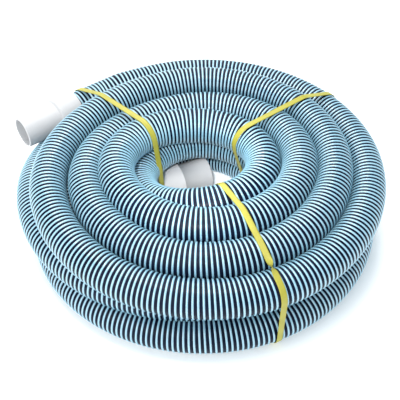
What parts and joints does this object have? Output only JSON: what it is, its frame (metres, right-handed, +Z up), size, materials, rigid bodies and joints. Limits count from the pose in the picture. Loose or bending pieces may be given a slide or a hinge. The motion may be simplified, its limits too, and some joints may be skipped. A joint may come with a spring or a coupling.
{
  "type": "pool vacuum hose",
  "caption": "Ribbed swimming pool vacuum hose wound in a flat round coil, held by tie straps, with a stepped plain cuff on one end and a swivelling cuff on the other.",
  "frame": {"origin": "middle of the object's footprint, on the floor", "axes": "+Z up, out of the flat of the coil; -Y to the front; the outer cuff is at -X +Y"},
  "size_m": [0.5081, 0.4798, 0.1441],
  "materials": {
    "hose_rib": "satin light blue moulded rib",
    "hose_web": "flexible dark navy web between the ribs",
    "cuff": "white moulded plastic, soft sheen",
    "seal": "black rubber",
    "strap": "flat yellow plastic strapping"
  },
  "bodies": {
    "hose": {"hose_coil": "hose_rib", "hose_lead_outer": "hose_rib", "hose_lead_inner": "hose_web", "fixed_cuff": "cuff", "swivel_collar": "cuff", "swivel_seal": "seal", "tie_strap_left": "strap", "tie_strap_right": "strap", "tie_strap_front": "strap"},
    "swivel_socket": {"swivel_socket": "cuff"}
  },
  "joints": [
    {"name": "cuff_swivel", "type": "hinge", "parent": "hose", "child": "swivel_socket", "pos_m": [-0.02293, 0.04508, 0.0274], "axis": [0.8988, 0.4384, 0], "continuous": true}
  ]
}
